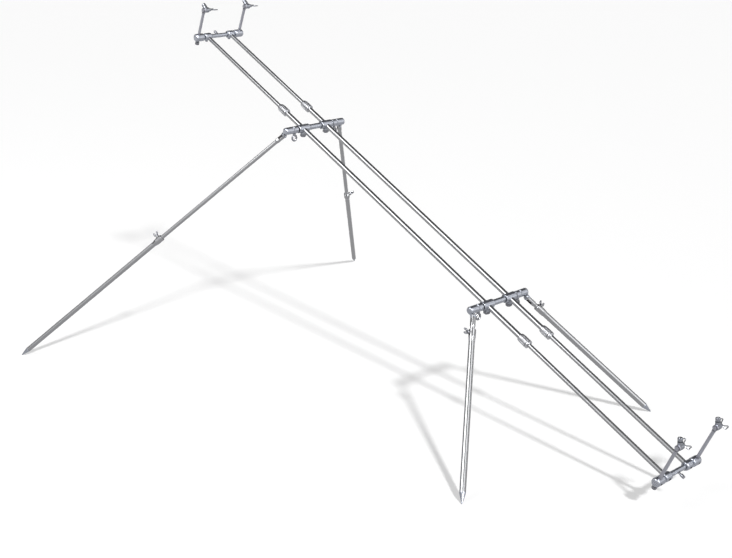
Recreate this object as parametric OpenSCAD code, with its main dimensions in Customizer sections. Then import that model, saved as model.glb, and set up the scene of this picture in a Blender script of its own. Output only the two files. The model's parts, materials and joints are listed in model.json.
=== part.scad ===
// High-front fishing rod pod: two telescopic rails held up at the front by four spiked, splayed legs

/* [Stance] */
// Angle of the rails above the ground, in degrees
rail_pitch = 25.7; // [10:0.1:32]
// Height of the rear leg bar's axis above the ground
rear_bar_height = 393; // [330:1:480]
// Distance between the two leg bars along the rails
leg_bar_spacing = 894; // [700:1:940]
// Forward lean of the front legs from vertical, in degrees
front_leg_rake = 39.9; // [25:0.1:45]
// Backward lean of the rear legs from vertical, in degrees
rear_leg_rake = 33.9; // [20:0.1:40]
// Outward splay of the front legs, in degrees
front_leg_splay = 33; // [15:0.1:40]
// Outward splay of the rear legs, in degrees
rear_leg_splay = 33.9; // [15:0.1:40]

/* [Rails] */
// Distance between the two rails, centre to centre
rail_spacing = 96; // [88:1:120]
// Outside diameter of a main rail tube
rail_d = 16; // [15.5:0.1:17]
// Distance from the rear leg bar to the rear collar's flat face
rear_collar_reach = 177; // [150:1:240]
// Distance from the rear leg bar to the front collar's flat face
front_collar_reach = 981; // [970:1:1100]
// Outside diameter of an extension tube
extension_d = 13; // [12.4:0.1:13.4]
// Wall of an extension tube
extension_wall = 1.1; // [0.8:0.1:1.6]
// Length of an extension tube held inside the main tube
extension_overlap = 150; // [90:1:180]
// Distance from the rear leg bar to the front end bar's axis
front_bar_reach = 1451; // [1300:1:1600]
// Distance from the rear leg bar to the rear end bar's axis
rear_bar_reach = 701; // [560:1:760]

/* [Locking collars] */
// Length of a locking collar
collar_len = 37; // [34:0.5:60]
// Outside diameter of a locking collar
collar_d = 25.6; // [24:0.1:28]
// Outside diameter at the rounded nose
collar_nose_d = 20.4; // [19.8:0.1:22]
// Number of grip flutes round a collar
collar_flutes = 10; // [6:1:14]
// Length of the split collet inside a collar
collet_len = 11; // [8:0.5:14]

/* [Leg bars] */
// Diameter of the middle of a leg bar
leg_bar_d = 17.5; // [14:0.5:19]
// Diameter of the barrels round the rails
rail_barrel_d = 26; // [24:0.5:28]
// Length of a barrel round a rail, across the rails
rail_barrel_len = 44; // [36:0.5:46]
// Diameter of the end sockets and of the knuckles
knuckle_d = 23; // [22:0.5:24]
// Distance from a rail's axis out to a leg's pivot
hip_reach = 69; // [67:0.5:75]
// Length of a knuckle barrel
knuckle_len = 33; // [30:0.5:34]
// Diameter of the knuckle spigot in its socket
spigot_d = 14; // [12:0.5:15]
// Length of the knuckle spigot
spigot_len = 24; // [20:0.5:25]

/* [Legs] */
// Distance from the bar's axis to the leg's hinge pin
pin_drop = 19; // [19:0.5:23]
// Diameter of the hinge pin
pin_d = 6; // [5:0.25:7]
// Thickness of the knuckle tongue inside the fork
tongue_t = 7; // [6:0.25:7.5]
// Width of the leg fork
fork_d = 14; // [13:0.25:14.25]
// Diameter of the inner leg tube
leg_inner_d = 13; // [12:0.1:13.4]
// Outside diameter of the outer tube of a front leg
front_outer_d = 16; // [15.5:0.1:17]
// Outside diameter of the outer tube of a rear leg
rear_outer_d = 18; // [16:0.1:19]
// Wall of the inner leg tube
leg_wall = 1.2; // [0.8:0.1:1.6]
// Collar to spike tip of a front leg
front_lower_len = 655; // [560:1:700]
// Collar to spike tip of a rear leg
rear_lower_len = 505; // [400:1:506]
// Length of the inner tube of a front leg below its pin
front_inner_len = 672; // [640:1:700]
// Length of the inner tube of a rear leg below its pin
rear_inner_len = 430; // [300:1:430]
// Diameter of the collar on an outer leg tube
leg_collar_d = 21; // [20:0.5:24]
// Length of a spike
spike_len = 32; // [24:1:45]
// Turn of the front left leg's screw round the leg, from outward to forward, in degrees
front_left_screw_turn = 85; // [-90:1:90]

/* [End bars and arms] */
// Diameter of the middle of an end bar
end_bar_d = 14; // [12:0.5:16]
// Diameter of the barrels round the extension tubes
end_barrel_d = 25; // [23.5:0.5:27]
// Length of a barrel round an extension tube, across the rails
end_barrel_len = 28; // [26:0.5:32]
// Distance from a rail's axis out to an arm
arm_reach = 38; // [34:0.5:48]
// Diameter of an arm's hub
hub_d = 26; // [24:0.5:28]
// Diameter of an arm rod
arm_d = 9.5; // [8:0.1:10]
// Length of a front arm, hub axis to head pivot
front_arm_len = 103; // [90:1:180]
// Length of a rear arm, hub axis to head pivot
rear_arm_len = 123; // [90:1:180]
// Lean of the front arms forward of square to the rails, in degrees
front_arm_lean = 3; // [-20:0.5:20]
// Lean of the rear arms forward of square to the rails, in degrees
rear_arm_lean = 2; // [-20:0.5:20]
// Tilt of the front heads forward of vertical, in degrees
front_head_tilt = 44; // [-20:1:60]
// Tilt of the rear heads forward of vertical, in degrees
rear_head_tilt = 5; // [-20:1:60]
// Diameter of the thread socket in a head
socket_d = 8.4; // [8:0.1:9]
// Depth of the thread socket in a head
socket_depth = 12; // [8:0.5:15]

/* [Screws] */
// Diameter of a wing screw's shank
wing_shank_d = 6; // [5:0.25:6.5]
// Span of a wing screw's two wings
wing_span = 34; // [28:1:38]
// Wire thickness of a wing
wing_wire = 3; // [2:0.1:3.4]
// Outside diameter of the ring on a knuckle screw
ring_d = 23; // [20:0.5:26]
// Wire thickness of the ring on a knuckle screw
ring_wire = 6; // [4.5:0.25:6.5]
// Diameter of the thumb screws under the rails
thumb_d = 20; // [16:0.5:22]
// Diameter of a thumb screw's shank
thumb_shank_d = 8; // [6:0.5:9]

/* [Clearances] */
// Radial clearance of a tube or shaft in its bore
slide_gap = 0.06; // [0.03:0.01:0.09]
// Gap between faces of pieces that move past each other
face_gap = 0.3; // [0.25:0.05:0.4]

/* [Hidden] */
$fn = 64;
SIDES = [["left", -1], ["right", 1]];
// Each end: its name, the way it faces along the rails and its own sizes
FRONT = 0;
REAR = 1;
END_NAMES = ["front", "rear"];
facing = [1, -1];
leg_bar_u = [leg_bar_spacing, 0];
leg_rake = [front_leg_rake, -rear_leg_rake];
leg_splay = [front_leg_splay, rear_leg_splay];
lower_len = [front_lower_len, rear_lower_len];
leg_outer_d = [front_outer_d, rear_outer_d];
inner_len = [front_inner_len, rear_inner_len];
end_bar_u = [front_bar_reach, -rear_bar_reach];
collar_u = [front_collar_reach, -rear_collar_reach];
arm_len = [front_arm_len, rear_arm_len];
arm_lean = [front_arm_lean, rear_arm_lean];
head_tilt = [front_head_tilt, rear_head_tilt];
// Names of the pieces that each end has once, and those that each corner has once
END_PIECES = ["extensions", "end_bar", "bar_screws", "leg_bar", "arm_knob"];
CORNER_PIECES = ["collar", "rail_screw", "knuckle", "knuckle_screw", "hinge_pin", "upper_leg",
    "lower_leg", "leg_screw", "spike", "arm", "head", "head_screw"];

// Rails and collars, measured along the rails from the rear leg bar
rail_x = rail_spacing / 2;
collar_wall = 6;
rail_bore = extension_d + 2 * slide_gap;
tube_setback = collar_wall + collet_len + 2 * face_gap;
rail_front = front_collar_reach + collar_len - tube_setback;
rail_rear = -rear_collar_reach + tube_setback;
collar_straight_share = 0.52;
collar_groove = 1.2;
collar_groove_at = 5;
flute_d = 3.2;
flute_axis_out = 1;
collet_slit = 1.2;
collet_tip = 0.4;

// Leg bar, measured across the rails from its middle
hip_x = rail_x + hip_reach;
bar_chamfer = 1.5;
neck_depth = 3;
neck_len = 2.5;
socket_in = rail_x + rail_barrel_len / 2 + neck_len;
knuckle_dome_r = 6;
knuckle_lip = 0.5;
knuckle_out = hip_x + fork_d / 2 + knuckle_lip;
knuckle_in = knuckle_out - knuckle_len;
socket_out = knuckle_in - face_gap;
lock_inset = 6.5;
lock_x = socket_out - lock_inset;
lock_groove = 1.5;
leg_bar_corner = 2;
boss_d = 17;
boss_drop = 18.5;
thumb_grip_h = 6;
thumb_end_d = 16;
thumb_end_h = 3;
thumb_corner = 2.5;
thumb_scallops = 16;
// Lowest point of a rail under its axis, straight down, and the room that the screw's blunt point needs
rail_under = rail_d / 2 / cos(rail_pitch);
point_r = 1.5;
point_drop = rail_under + point_r * tan(rail_pitch) + face_gap;

// Leg, measured along its own axis from the hinge pin
fork_gap = tongue_t + 2 * face_gap;
cheek_t = 3.5;
fork_w = fork_gap + 2 * cheek_t;
fork_slot = 20;
fork_foot = 29;
fork_neck = 34;
fork_chamfer = 1.6;
pin_head_r = 0.8 * pin_d;
pin_head_top_r = 0.65 * pin_d;
pin_head_h = 1.4;
tip_r = 1.5;
bar_height = [for (u = leg_bar_u) rear_bar_height + u * sin(rail_pitch)];
leg_len = [for (e = [FRONT, REAR])
    ((bar_height[e] - tip_r) / cos(leg_rake[e]) - pin_drop) / cos(leg_splay[e])];
lower_top = [for (e = [FRONT, REAR]) leg_len[e] - lower_len[e]];
leg_bore = leg_inner_d + 2 * slide_gap;
leg_collar_len = 38;
leg_collar_straight = 23.5;
leg_boss_at = 12;
leg_boss_d = 12;
leg_boss_proud = 3;
leg_boss_out = leg_collar_d / 2 + leg_boss_proud;
spike_plug = 20;
spike_shoulder = 3;

// End bar, measured across the rails from its middle
arm_x = rail_x + arm_reach;
hub_gap = 3;
hub_end = 14;
hub_in = rail_x + end_barrel_len / 2 + hub_gap;
hub_out = arm_x + hub_end;
hub_dome_r = 7;
bead_corner = 5;
hub_spigot_d = 12;
hub_spigot_end = 8;
hub_spigot_out = arm_x + hub_spigot_end;
tube_stop = 3;
set_screw_d = 5;
set_knob_d = 10;
set_knob_h = 6;
set_knob_corner = 2;
stud_d = 9.5;
stud_len = 21;
stud_corner = 2.5;
stud_seat = end_bar_d / 2 - 1.5;
hub_recess_d = 8;
hub_recess_depth = 4;

// Arm and head: the head's lug sits on the right face of the arm's flat eye
eye_r = 8;
eye_t = 6;
lug_r = 8.5;
lug_chamfer = 1;
head_barrel_r = 7.5;
lug_in = eye_t / 2 + face_gap;
head_x = lug_in + head_barrel_r;
lug_out = head_x + head_barrel_r;
head_top = 26;
head_ring_r = 7;
head_ring_h = 9;
head_ring_corner = 3;
head_groove = 2;
head_groove_w = 3;
head_groove_slope = 0.5;
cap_r = 6;
cap_t = 3;
knob_d = 14;
knob_h = 9;
knob_neck = 3;
knob_neck_r = 5;
knob_scallops = 12;

// Wing screw and ring screw
screw_boss_r = 5;
ring_boss_h = 5;
wing_boss_h = 8;
wing_foot_h = 12;
wing_height = 28;
wing_top_share = 0.77;
leg_wing_scale = 0.55;
head_wing_turn = 45;

// Scallops of a round grip, as shares of its diameter: their size and how far out their centres are
scallop_share = 0.16;
scallop_out_share = 0.53;

// Ground point under the middle of the part: halfway from the rear heads to the front spike tips,
// where a rear head reaches back with its lug, its top ring or a wing of its screw
front_reach = leg_bar_spacing * cos(rail_pitch)
    + sin(front_leg_rake) * (pin_drop + leg_len[FRONT] * cos(front_leg_splay)) + tip_r;
ring_back = (head_ring_corner - head_top) * sin(rear_head_tilt)
    + (head_ring_r - head_ring_corner) * cos(rear_head_tilt) + head_ring_corner;
wing_lean = head_wing_turn + rear_head_tilt;
wing_back = wing_span / 2 * sin(wing_lean) + wing_wire / 2 * abs(cos(wing_lean));
rear_reach = rear_bar_reach * cos(rail_pitch) + rear_arm_len * sin(rail_pitch - rear_arm_lean)
    + max(lug_r, ring_back, wing_back);
base_y = (rear_reach - front_reach) / 2;

steel = [0.78, 0.79, 0.81];
satin = [0.62, 0.64, 0.68];
dark_steel = [0.45, 0.46, 0.49];

// Frames that the pieces are placed in

// At a point u along the rails, Y along the rails to the front, Z square to them
module on_rails(u = 0) {
    translate([0, base_y, rear_bar_height]) rotate([rail_pitch, 0, 0]) translate([0, u, 0]) children();
}

// At the middle of a leg bar, upright
module at_leg_bar(e) {
    u = leg_bar_u[e];
    translate([0, base_y + u * cos(rail_pitch), rear_bar_height + u * sin(rail_pitch)]) children();
}

// The right-hand shape, or its mirror image for the left
module on_side(s) {
    if (s[1] > 0) children();
    else mirror([1, 0, 0]) children();
}

// At a leg's place on the bar's axis, turned so that -Z points down the raked leg plane
module at_hip(e, s) {
    at_leg_bar(e) on_side(s) translate([hip_x, 0, 0]) rotate([leg_rake[e], 0, 0]) children();
}

// At a leg's hinge pin, with the leg running down -Z and +X outward
module on_leg(e, s) {
    at_hip(e, s) translate([0, 0, -pin_drop]) rotate([0, -leg_splay[e], 0]) children();
}

// At a leg's screw, X pointing out along the screw
module at_leg_screw(e, s) {
    on_leg(e, s) translate([0, 0, -lower_top[e] - leg_boss_at])
        rotate([0, 0, e == FRONT && s[1] < 0 ? front_left_screw_turn : 0]) children();
}

// At an end bar's middle on the rails, Y pointing out of the pod
module at_end_bar(e) {
    on_rails(end_bar_u[e])
        if (facing[e] > 0) children();
        else mirror([0, 1, 0]) children();
}

// At an arm's hub on the end bar's axis, Z up the arm
module on_arm(e, s) {
    on_rails(end_bar_u[e]) translate([s[1] * arm_x, 0, 0]) rotate([-arm_lean[e], 0, 0]) children();
}

// At a head's pivot, Z up the head's socket
module on_head(e, s) {
    on_arm(e, s) translate([0, 0, arm_len[e]])
        rotate([arm_lean[e] - rail_pitch - head_tilt[e], 0, 0]) children();
}

module along_x() {
    rotate([0, 90, 0]) children();
}

module along_y() {
    rotate([-90, 0, 0]) children();
}

// Shapes that several pieces share

module tube(outside, bore, length) {
    difference() {
        cylinder(d = outside, h = length);
        translate([0, 0, -1]) cylinder(d = bore, h = length + 2);
    }
}

// Turned piece round Z from a list of [radius, height] points
module turned(points) {
    rotate_extrude() polygon(points);
}

// Quarter-round corner of a turned outline, from the outside to the end face at z
function rounded_end(r, z, corner) =
    [for (a = [0:15:90]) [r - corner + corner * cos(a), z - corner + corner * sin(a)]];

// Quarter-round corner from the end face at z to the outside
function rounded_start(r, z, corner) =
    [for (a = [0:15:90]) [r - corner + corner * sin(a), z + corner - corner * cos(a)]];

// Half of a turned cross bar, as [radius, distance from the middle]: thin middle, then the rail barrel
function bar_half(middle_d, barrel_d, barrel_len, corner, neck_r) = concat(
    [[0, 0], [middle_d / 2, 0], [middle_d / 2, rail_x - barrel_len / 2]],
    rounded_start(barrel_d / 2, rail_x - barrel_len / 2, corner),
    rounded_end(barrel_d / 2, rail_x + barrel_len / 2, corner),
    [[neck_r, rail_x + barrel_len / 2]]);

// Straight wire with round ends, flat
module stroke(from, to, width) {
    run = to - from;
    translate(from) rotate(atan2(run[1], run[0])) {
        translate([0, -width / 2]) square([norm(run), width]);
        circle(d = width);
        translate([norm(run), 0]) circle(d = width);
    }
}

// Blunt shank below z = 0 with a round boss that seats on it
module screw_shank(shank_len, boss_h) {
    shank_r = wing_shank_d / 2;
    turned([[0, -shank_len], [shank_r - 1, -shank_len], [shank_r, 1 - shank_len], [shank_r, face_gap],
        [screw_boss_r, face_gap], [screw_boss_r, boss_h], [screw_boss_r - 1, boss_h + 1], [0, boss_h + 1]]);
}

// Wing screw with two open loop wings, seated on z = 0 with its shank below
module wing_screw(shank_len, size = 1) {
    reach = wing_span / 2 * size - wing_wire / 2;
    boss_h = wing_boss_h * size;
    corners = [[screw_boss_r - wing_wire, boss_h], [reach, wing_foot_h * size],
        [reach * wing_top_share, wing_height * size]];
    color(satin) {
        screw_shank(shank_len, boss_h);
        for (side = [0, 180]) rotate([0, 0, side]) rotate([90, 0, 0])
            linear_extrude(wing_wire, center = true)
                for (i = [0:2]) stroke(corners[i], corners[(i + 1) % 3], wing_wire);
    }
}

// Screw with a ring to pull on, seated on z = 0 with its shank below
module ring_screw(shank_len) {
    color(satin) {
        screw_shank(shank_len, ring_boss_h);
        translate([0, 0, ring_boss_h + ring_d / 2 - ring_wire / 4]) rotate([90, 0, 0])
            rotate_extrude() translate([(ring_d - ring_wire) / 2, 0]) circle(d = ring_wire);
    }
}

// Round grip with scalloped edge, centred on Z
module grip(d, h, scallops) {
    linear_extrude(h) difference() {
        circle(d = d);
        for (i = [0:scallops - 1]) rotate(i * 360 / scallops)
            translate([d * scallop_out_share, 0]) circle(d = d * scallop_share);
    }
}

// Rails, extensions and locking collars

module main_rails() {
    color(steel) for (s = SIDES)
        on_rails(rail_rear) translate([s[1] * rail_x, 0, 0]) along_y()
            tube(rail_d, rail_bore, rail_front - rail_rear);
}

module extensions(e) {
    inner = e == FRONT ? rail_front - extension_overlap : rail_rear + extension_overlap;
    outer = end_bar_u[e] + facing[e] * (end_barrel_d / 2 - tube_stop);
    color(steel) for (s = SIDES)
        on_rails(min(inner, outer)) translate([s[1] * rail_x, 0, 0]) along_y()
            tube(extension_d, extension_d - 2 * extension_wall, abs(outer - inner));
}

// Bullet-shaped collar: flat end at z = 0, rounded nose up, grip flutes on the straight part
module collar_shell() {
    r = collar_d / 2;
    nose = collar_nose_d / 2;
    straight = collar_straight_share * collar_len;
    groove_top = collar_groove_at + 2 * collar_groove;
    difference() {
        turned(concat(
            [[0, 0], [r - 1, 0], [r, 1], [r, collar_groove_at],
                [r - collar_groove, collar_groove_at + collar_groove], [r, groove_top]],
            [for (a = [0:10:90]) [nose + (r - nose) * cos(a), straight + (collar_len - straight) * sin(a)]],
            [[0, collar_len]]));
        for (i = [0:collar_flutes - 1]) rotate([0, 0, i * 360 / collar_flutes])
            translate([r + flute_axis_out, 0, groove_top + collar_groove + flute_d / 2]) {
                cylinder(d = flute_d, h = collar_len);
                sphere(d = flute_d);
            }
    }
}

// The extension passes the end wall: at the nose of a front collar, at the flat end of a rear one
module collar(e, s) {
    color(satin) on_rails(collar_u[e]) translate([s[1] * rail_x, 0, 0]) along_y() difference() {
        collar_shell();
        translate([0, 0, -1]) cylinder(d = rail_bore, h = collar_len + 2);
        translate([0, 0, e == FRONT ? -1 : collar_wall])
            cylinder(d = rail_d + 2 * slide_gap, h = collar_len - collar_wall + 1);
    }
}

// Split collets that the collars squeeze onto the extensions
module collar_collets() {
    color(dark_steel) for (e = [FRONT, REAR], s = SIDES)
        on_rails(e == FRONT ? rail_front : rail_rear) translate([s[1] * rail_x, 0, 0]) along_y()
            mirror([0, 0, e]) translate([0, 0, face_gap]) difference() {
                turned([[rail_bore / 2, 0], [rail_d / 2 - slide_gap, 0],
                    [rail_d / 2 - slide_gap, collet_len / 2], [rail_bore / 2 + collet_tip, collet_len],
                    [rail_bore / 2, collet_len]]);
                translate([0, -collet_slit / 2, -1]) cube([rail_d, collet_slit, collet_len + 2]);
            }
}

// Leg bars and their screws

module leg_bar(e) {
    r = knuckle_d / 2;
    half = concat(bar_half(leg_bar_d, rail_barrel_d, rail_barrel_len, leg_bar_corner, r - neck_depth), [
        [r - neck_depth, socket_in],
        [r - bar_chamfer, socket_in],
        [r, socket_in + bar_chamfer],
        [r, socket_out - bar_chamfer],
        [r - bar_chamfer, socket_out],
        [0, socket_out]]);
    color(satin) at_leg_bar(e) difference() {
        union() for (s = SIDES) on_side(s) {
            along_x() turned(half);
            translate([rail_x, 0, -boss_drop]) cylinder(d = boss_d, h = boss_drop);
        }
        for (s = SIDES) on_side(s) {
            translate([rail_x, 0, 0]) {
                rotate([rail_pitch, 0, 0]) along_y()
                    cylinder(d = rail_d + 2 * slide_gap, h = 2 * rail_barrel_d, center = true);
                translate([0, 0, -boss_drop - 1])
                    cylinder(d = thumb_shank_d + 2 * slide_gap, h = boss_drop);
            }
            translate([socket_out - spigot_len - face_gap, 0, 0]) along_x()
                cylinder(d = spigot_d + 2 * slide_gap, h = spigot_len + 1);
            translate([lock_x, 0, -knuckle_d])
                cylinder(d = wing_shank_d + 2 * slide_gap, h = knuckle_d);
        }
    }
}

// Thumb screw that clamps the bar on a rail, turned from below
module rail_screw(e, s) {
    shank_r = thumb_shank_d / 2;
    grip_foot = boss_drop + face_gap + thumb_grip_h;
    color(satin) at_leg_bar(e) translate([s[1] * rail_x, 0, 0]) {
        turned([[0, -point_drop], [point_r, -point_drop], [shank_r, -point_drop - shank_r],
            [shank_r, -grip_foot], [0, -grip_foot]]);
        translate([0, 0, -grip_foot]) {
            grip(thumb_d, thumb_grip_h, thumb_scallops);
            mirror([0, 0, 1]) turned(concat([[0, -1], [thumb_end_d / 2, -1]],
                rounded_end(thumb_end_d / 2, thumb_end_h, thumb_corner), [[0, thumb_end_h]]));
        }
    }
}

// Barrel that turns on the bar's axis, with a spigot in the bar and a tongue for the leg's fork
module knuckle(e, s) {
    r = knuckle_d / 2;
    spigot_r = spigot_d / 2;
    spigot_in = socket_out - spigot_len;
    color(satin) at_hip(e, s) difference() {
        union() {
            translate([-hip_x, 0, 0]) along_x() turned(concat(
                [[0, spigot_in], [spigot_r, spigot_in], [spigot_r, lock_x - 2 * lock_groove],
                    [spigot_r - lock_groove, lock_x - lock_groove],
                    [spigot_r - lock_groove, lock_x + lock_groove], [spigot_r, lock_x + 2 * lock_groove],
                    [spigot_r, knuckle_in], [r - bar_chamfer, knuckle_in], [r, knuckle_in + bar_chamfer]],
                rounded_end(r, knuckle_out, knuckle_dome_r), [[0, knuckle_out]]));
            rotate([90, 0, 0]) linear_extrude(tongue_t, center = true) {
                translate([-fork_d / 2, -pin_drop]) square([fork_d, pin_drop]);
                translate([0, -pin_drop]) circle(d = fork_d);
            }
        }
        translate([0, 0, -pin_drop]) rotate([90, 0, 0])
            cylinder(d = pin_d + 2 * slide_gap, h = 2 * tongue_t, center = true);
    }
}

module knuckle_screw(e, s) {
    at_leg_bar(e) translate([s[1] * lock_x, 0, -knuckle_d / 2]) rotate([180, 0, 0])
        ring_screw((knuckle_d - spigot_d) / 2 + lock_groove / 2);
}

// Legs

module hinge_pin(e, s) {
    shank = fork_w / 2 + face_gap / 2;
    color(dark_steel) on_leg(e, s) rotate([90, 0, 0]) {
        cylinder(d = pin_d, h = 2 * shank, center = true);
        for (end = [0, 1]) mirror([0, 0, end]) translate([0, 0, shank])
            turned([[0, 0], [pin_head_r, 0], [pin_head_top_r, pin_head_h], [0, pin_head_h]]);
    }
}

// Fork over the knuckle's tongue, with the inner tube below it
module upper_leg(e, s) {
    color(steel) on_leg(e, s) difference() {
        union() {
            intersection() {
                rotate([90, 0, 0]) linear_extrude(fork_w, center = true) {
                    circle(d = fork_d);
                    translate([-fork_d / 2, -fork_foot]) square([fork_d, fork_foot]);
                }
                translate([0, 0, -fork_foot]) cylinder(d = fork_d + fork_chamfer, h = fork_foot + fork_d);
            }
            mirror([0, 0, 1]) turned([[0, fork_foot - 1], [fork_w / 2, fork_foot - 1],
                [fork_w / 2, fork_foot], [leg_inner_d / 2, fork_neck], [leg_inner_d / 2, inner_len[e]],
                [0, inner_len[e]]]);
        }
        translate([-fork_d, -fork_gap / 2, -fork_slot]) cube([2 * fork_d, fork_gap, fork_slot + fork_d]);
        rotate([90, 0, 0]) cylinder(d = pin_d + 2 * slide_gap, h = 2 * fork_w, center = true);
        translate([0, 0, -inner_len[e] - 1])
            cylinder(d = leg_inner_d - 2 * leg_wall, h = inner_len[e] + 1 - fork_neck);
    }
}

// Outer tube with its collar and screw boss
module lower_leg(e, s) {
    top = lower_top[e];
    foot = leg_len[e] - spike_len;
    collar_r = leg_collar_d / 2;
    outer_r = leg_outer_d[e] / 2;
    color(steel) difference() {
        union() {
            on_leg(e, s) mirror([0, 0, 1]) turned([[0, top], [collar_r - 1, top], [collar_r, top + 1],
                [collar_r, top + leg_collar_straight], [outer_r, top + leg_collar_len],
                [outer_r, foot], [0, foot]]);
            at_leg_screw(e, s) along_x() cylinder(d = leg_boss_d, h = leg_boss_out);
        }
        on_leg(e, s) translate([0, 0, -foot - 1]) cylinder(d = leg_bore, h = foot - top + 2);
        at_leg_screw(e, s) along_x() cylinder(d = wing_shank_d + 2 * slide_gap, h = 2 * leg_boss_out);
    }
}

module leg_screw(e, s) {
    at_leg_screw(e, s) translate([leg_boss_out, 0, 0]) along_x()
        wing_screw(leg_boss_out - leg_inner_d / 2 - face_gap, leg_wing_scale);
}

// Pointed foot plugged into the outer tube
module spike(e, s) {
    foot = leg_len[e] - spike_len;
    plug_r = leg_bore / 2 - slide_gap;
    outer_r = leg_outer_d[e] / 2;
    taper = atan((outer_r - tip_r) / (spike_len - spike_shoulder));
    color(dark_steel) on_leg(e, s) mirror([0, 0, 1]) turned(concat(
        [[0, foot - spike_plug], [plug_r, foot - spike_plug], [plug_r, foot], [outer_r, foot],
            [outer_r, foot + spike_shoulder]],
        [for (a = [taper:(90 - taper) / 5:90.01]) [tip_r * cos(a), leg_len[e] + tip_r * sin(a)]]));
}

// End bars, arms and heads

// Turned bar with two rail sockets and a spigot at each end for the arm hubs
module end_bar(e) {
    half = concat(bar_half(end_bar_d, end_barrel_d, end_barrel_len, bead_corner, hub_spigot_d / 2), [
        [hub_spigot_d / 2, hub_spigot_out - 1],
        [hub_spigot_d / 2 - 1, hub_spigot_out],
        [0, hub_spigot_out]]);
    reach = end_barrel_d;
    color(satin) at_end_bar(e) difference() {
        union() for (s = SIDES) on_side(s) along_x() turned(half);
        for (s = SIDES) translate([s[1] * rail_x, 0, 0]) {
            along_y() translate([0, 0, -reach]) {
                cylinder(d = extension_d + 2 * slide_gap, h = 1.5 * reach - tube_stop + face_gap);
                cylinder(d = extension_d - 2 * extension_wall, h = 2 * reach);
            }
            translate([0, 0, -reach]) cylinder(d = set_screw_d + 2 * slide_gap, h = reach);
        }
        along_y() {
            cylinder(d = set_screw_d + 2 * slide_gap, h = end_bar_d);
            translate([0, 0, stud_seat]) cylinder(d = stud_d + 2 * face_gap, h = end_bar_d);
        }
    }
}

// Small screws that hold the extensions in the end bar, and the stud in the middle of its outer face
module bar_screws(e) {
    seat = end_barrel_d / 2;
    color(dark_steel) at_end_bar(e) {
        for (s = SIDES) translate([s[1] * rail_x, 0, 0]) mirror([0, 0, 1]) {
            translate([0, 0, extension_d / 2 + slide_gap])
                cylinder(d = set_screw_d, h = seat - extension_d / 2 + 2);
            translate([0, 0, seat]) turned(concat([[0, 0]],
                rounded_end(set_knob_d / 2, set_knob_h, set_knob_corner), [[0, set_knob_h]]));
        }
        along_y() {
            translate([0, 0, 1]) cylinder(d = set_screw_d, h = stud_seat + 1);
            translate([0, 0, stud_seat])
                turned(concat([[0, 0]], rounded_end(stud_d / 2, stud_len, stud_corner), [[0, stud_len]]));
        }
    }
}

// Hub that turns on the end bar's spigot, with the rod, its flat eye and a blind cap on the eye's left face
module arm(e, s) {
    r = hub_d / 2;
    inner = hub_in - arm_x;
    outer = hub_out - arm_x;
    color(satin) on_arm(e, s) difference() {
        union() {
            on_side(s) along_x() turned(concat([[0, inner]], rounded_start(r, inner, bead_corner),
                rounded_end(r, outer, hub_dome_r), [[0, outer]]));
            cylinder(d = arm_d, h = arm_len[e] - lug_r - 2 * face_gap);
            translate([-eye_t / 2, 0, arm_len[e]]) {
                along_x() cylinder(r = eye_r, h = eye_t);
                translate([0, -arm_d / 2, -lug_r - arm_d / 2]) cube([eye_t, arm_d, lug_r]);
                translate([-cap_t, 0, 0]) along_x() cylinder(r = cap_r, h = cap_t + 1);
            }
        }
        on_side(s) translate([inner - 1, 0, 0]) along_x()
            cylinder(d = hub_spigot_d + 2 * slide_gap, h = hub_spigot_out - hub_in + face_gap + 1);
        translate([-eye_t / 2, 0, arm_len[e]]) along_x()
            cylinder(d = wing_shank_d + 2 * slide_gap, h = 2 * eye_t);
        translate([0, facing[e] * r, 0]) along_y()
            cylinder(d = hub_recess_d, h = 2 * hub_recess_depth, center = true);
        if (s[1] < 0) translate([0, 0, -hub_d])
            cylinder(d = wing_shank_d + 2 * slide_gap, h = hub_d);
    }
}

// Knob under the left hub, in line with the arm
module arm_knob(e) {
    tip = hub_spigot_d / 2 + face_gap;
    seat = hub_d / 2 + face_gap;
    grip_top = seat + knob_neck;
    color(dark_steel) on_arm(e, SIDES[0]) mirror([0, 0, 1]) {
        turned([[0, tip], [wing_shank_d / 2, tip], [wing_shank_d / 2, seat], [knob_neck_r, seat],
            [knob_neck_r, grip_top], [0, grip_top]]);
        translate([0, 0, grip_top]) grip(knob_d, knob_h, knob_scallops);
    }
}

// Lug beside the arm's eye, with an upright barrel and a thread socket on top
module head(e, s) {
    ring_foot = head_top - head_ring_h;
    groove_foot = ring_foot - head_groove_w;
    groove_r = head_barrel_r - head_groove;
    color(satin) on_head(e, s) difference() {
        union() {
            along_x() turned([[0, lug_in], [lug_r - lug_chamfer, lug_in], [lug_r, lug_in + lug_chamfer],
                [lug_r, lug_out - lug_chamfer], [lug_r - lug_chamfer, lug_out], [0, lug_out]]);
            translate([head_x, 0, 0]) turned(concat(
                [[0, 0], [head_barrel_r, 0], [head_barrel_r, groove_foot],
                    [groove_r, groove_foot + head_groove_slope], [groove_r, ring_foot - head_groove_slope],
                    [head_ring_r, ring_foot]],
                rounded_end(head_ring_r, head_top, head_ring_corner), [[0, head_top]]));
        }
        along_x() cylinder(d = wing_shank_d + 2 * slide_gap, h = 2 * lug_out);
        translate([head_x, 0, head_top - socket_depth]) cylinder(d = socket_d, h = socket_depth + 1);
    }
}

// Screw through the lug into the eye, its wings turned out of the head's plane
module head_screw(e, s) {
    on_head(e, s) translate([lug_out, 0, 0]) rotate([-head_wing_turn, 0, 0]) rotate([0, 90, 0])
        wing_screw(lug_out + eye_t / 2 - face_gap);
}

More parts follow.
